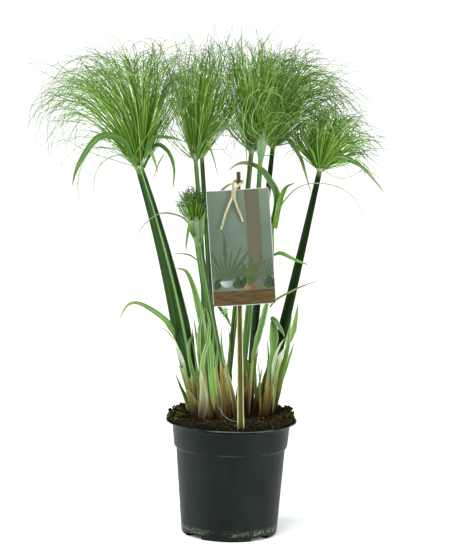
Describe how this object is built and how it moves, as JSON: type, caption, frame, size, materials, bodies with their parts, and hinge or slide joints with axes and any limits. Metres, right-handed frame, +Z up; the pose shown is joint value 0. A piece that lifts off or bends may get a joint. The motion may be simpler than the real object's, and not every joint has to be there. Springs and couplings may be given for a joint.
{
  "type": "potted papyrus plant",
  "caption": "Young papyrus clump with slender bare stems and mop heads of drooping rays, in a round black nursery pot, with a printed card tied to a split cane.",
  "frame": {"origin": "middle of the pot's underside, on the ground plane it rests on", "axes": "+Z up along the pot's axis and the stems; -Y is the front, where the cane and its card stand; +X is the viewer's right"},
  "size_m": [0.3762, 0.2107, 0.5468],
  "materials": {
    "pot_plastic": "thin black moulded nursery-pot plastic, satin, scuffed",
    "peat": null,
    "dark_stem": "smooth dark green stem skin, slightly waxy",
    "pale_stem": "smooth pale green stem skin",
    "leaf": "soft green leaf blade",
    "rays": "soft mass of thread-like green rays",
    "husk": "dry papery brown leaf base",
    "cane": "split bamboo, dull",
    "card": "coated printed card, satin",
    "raffia": "dry raffia"
  },
  "bodies": {
    "root": {"bract_a_back": "leaf", "bract_a_broad": "leaf", "bract_a_down": "leaf", "bract_a_right": "leaf", "bract_a_thin": "leaf", "bract_b_down": "leaf", "bract_b_right": "leaf", "bract_c_down": "leaf", "bract_d_right": "leaf", "bract_e_down": "leaf", "bract_e_long": "leaf", "bract_e_right": "leaf", "bud_c2": "pale_stem", "cane": "cane", "card": "card", "culm_a": "dark_stem", "culm_b1": "pale_stem", "culm_b2": "dark_stem", "culm_c1": "pale_stem", "culm_c2": "pale_stem", "culm_c3": "dark_stem", "culm_d": "dark_stem", "culm_e": "pale_stem", "cup_e": "pale_stem", "leaf_arched": "leaf", "leaf_bent": "leaf", "leaf_clump_left": "leaf", "leaf_clump_right": "leaf", "leaf_folded": "leaf", "leaf_front": "leaf", "leaf_g_arc": "leaf", "leaf_g_low": "leaf", "leaf_g_right": "leaf", "leaf_g_thin": "leaf", "leaf_g_top": "leaf", "leaf_hook": "leaf", "pot": "pot_plastic", "sheath_a": "husk", "sheath_b1": "husk", "sheath_b2": "husk", "sheath_c1": "husk", "sheath_c2": "husk", "sheath_c3": "husk", "sheath_d": "husk", "sheath_e": "husk", "shoot_brown": "husk", "shoot_g": "pale_stem", "shoot_green": "leaf", "shoot_green_leaf": "leaf", "soil": "peat", "spike_left": "husk", "tie": "raffia", "umbel_a": "rays", "umbel_b1": "rays", "umbel_b2": "rays", "umbel_c1": "rays", "umbel_c3": "rays", "umbel_d": "rays", "umbel_e": "rays"}
  },
  "joints": []
}
